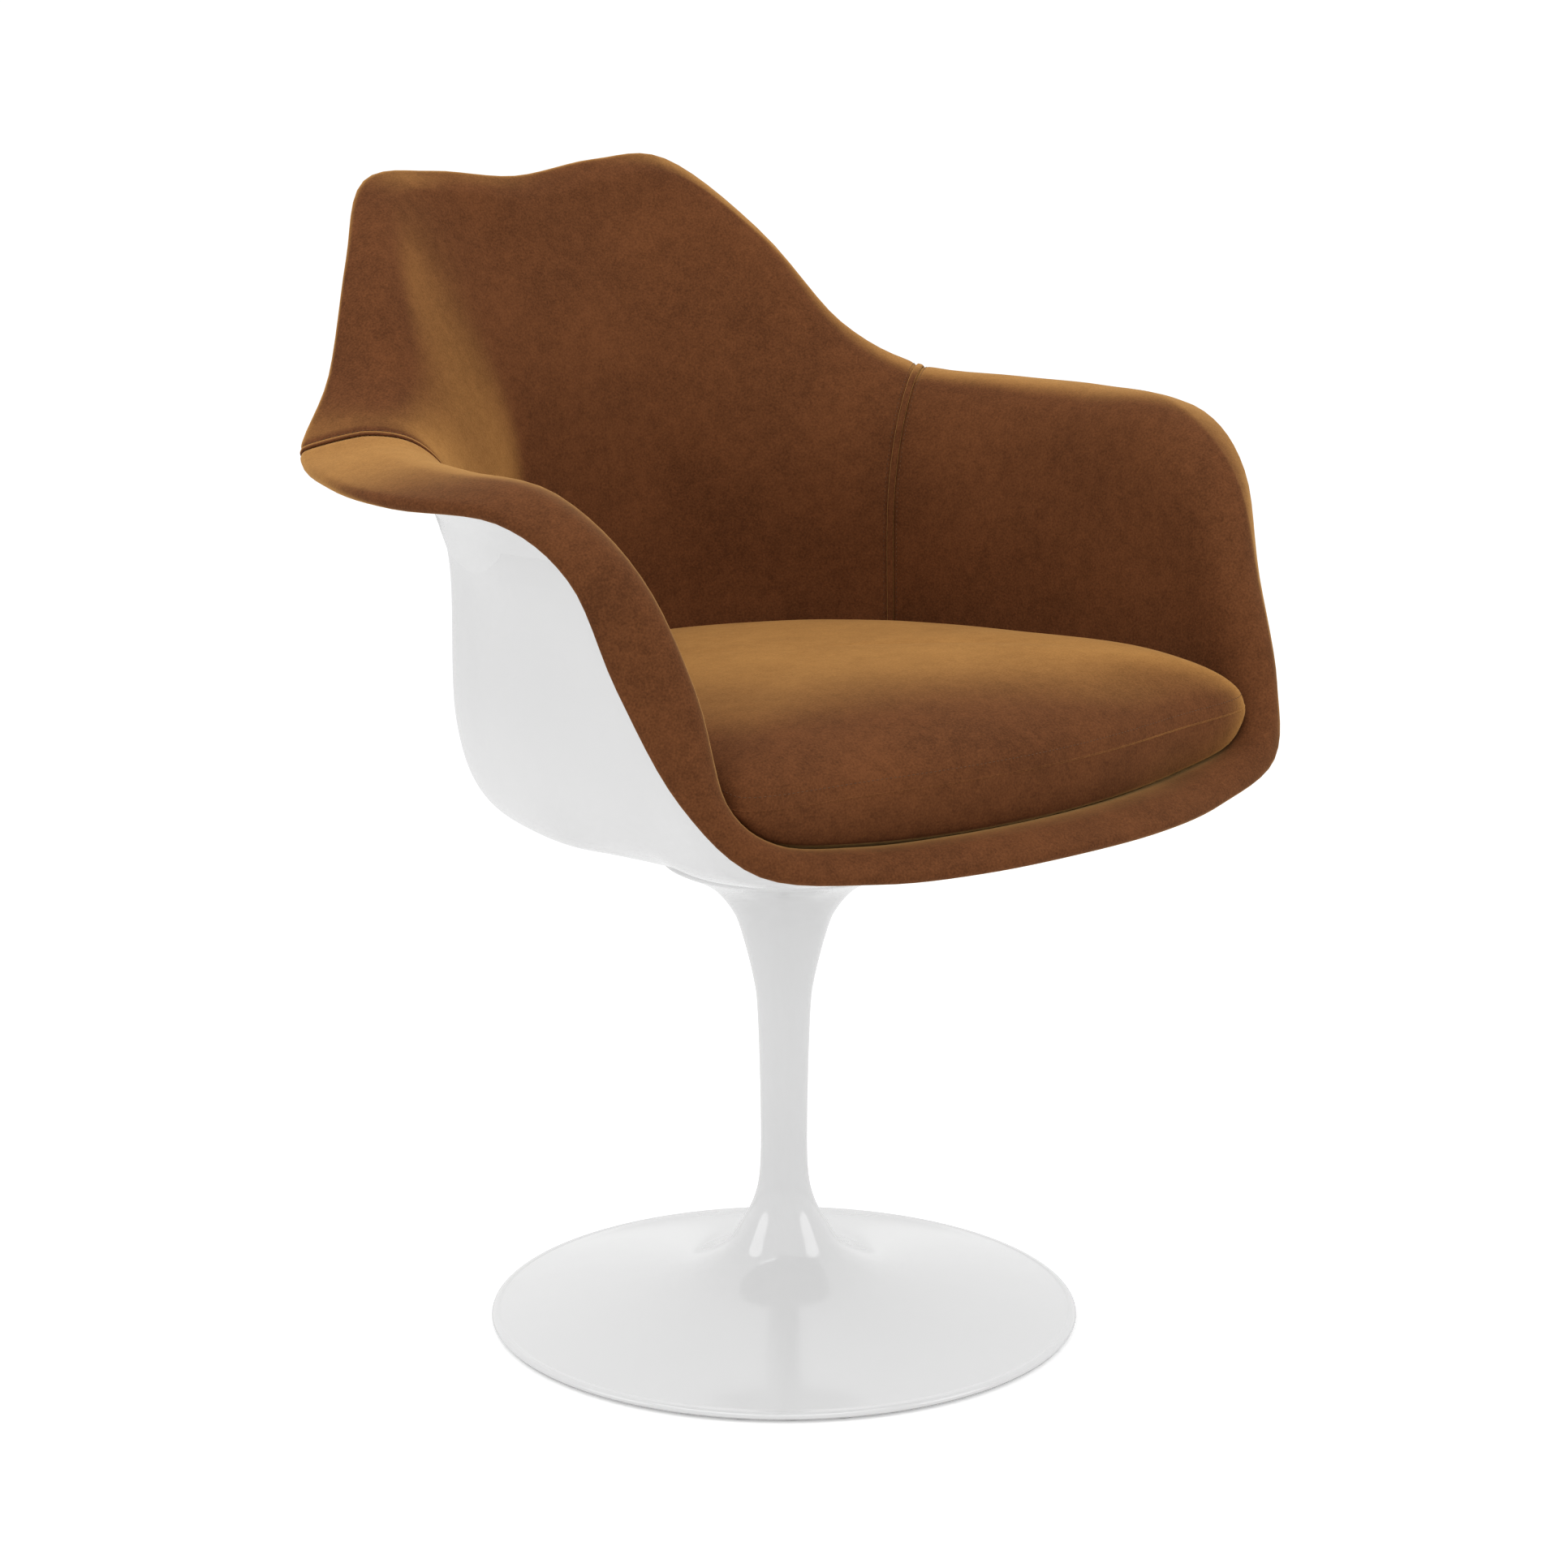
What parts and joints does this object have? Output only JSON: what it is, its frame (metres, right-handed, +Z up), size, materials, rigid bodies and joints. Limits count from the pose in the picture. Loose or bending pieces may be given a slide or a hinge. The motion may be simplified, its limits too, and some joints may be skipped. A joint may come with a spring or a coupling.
{
  "type": "pedestal armchair",
  "caption": "Swivel armchair: moulded tub seat with flared arms, upholstered lining and loose cushion, on a trumpet pedestal foot.",
  "frame": {"origin": "on the swivel axis at floor level, under the middle of the chair", "axes": "+Z up along the swivel axis, -Y the way the sitter faces, +X to the sitter's left"},
  "size_m": [0.694, 0.6036, 0.814],
  "materials": {
    "white_coating": "satin white powder coat",
    "white_moulding": "smooth satin white moulding",
    "brown_velvet": "short-pile velvet",
    "foam": "open-cell foam",
    "bright_steel": "bright zinc",
    "dark_steel": "dark phosphate",
    "nylon": "natural nylon",
    "black_nylon": "black nylon",
    "zip_tape": "woven tape and coil zip"
  },
  "bodies": {
    "pedestal": {"pedestal_casting": "white_coating", "floor_ring": "black_nylon", "bearing_sleeve": "dark_steel", "upper_bush": "nylon", "lower_bush": "nylon", "sleeve_screw_1": "bright_steel", "sleeve_screw_2": "bright_steel", "sleeve_screw_3": "bright_steel"},
    "seat": {"shell": "white_moulding", "back_pad": "brown_velvet", "arm_pad": "brown_velvet", "seat_pad": "brown_velvet", "collar_ring": "white_moulding", "swivel_spindle": "bright_steel", "thrust_washer": "bright_steel", "retaining_washer": "bright_steel", "retaining_ring": "dark_steel", "load_plate": "dark_steel", "seat_bolt_1": "bright_steel", "seat_bolt_2": "bright_steel", "seat_bolt_3": "bright_steel", "seat_bolt_4": "bright_steel", "seat_washer_1": "bright_steel", "seat_washer_2": "bright_steel", "seat_washer_3": "bright_steel", "seat_washer_4": "bright_steel"},
    "cushion": {"cushion_core": "foam", "cushion_top_panel": "brown_velvet", "cushion_band": "brown_velvet", "cushion_bottom_panel": "brown_velvet", "cushion_zip": "zip_tape"}
  },
  "joints": [
    {"name": "seat_swivel", "type": "hinge", "parent": "pedestal", "child": "seat", "pos_m": [0, 0, 0.3454], "axis": [0, 0, 1], "continuous": true},
    {"name": "cushion_lift", "type": "slide", "parent": "seat", "child": "cushion", "axis": [0, 0, 1], "range_m": [0, 0.3]}
  ]
}
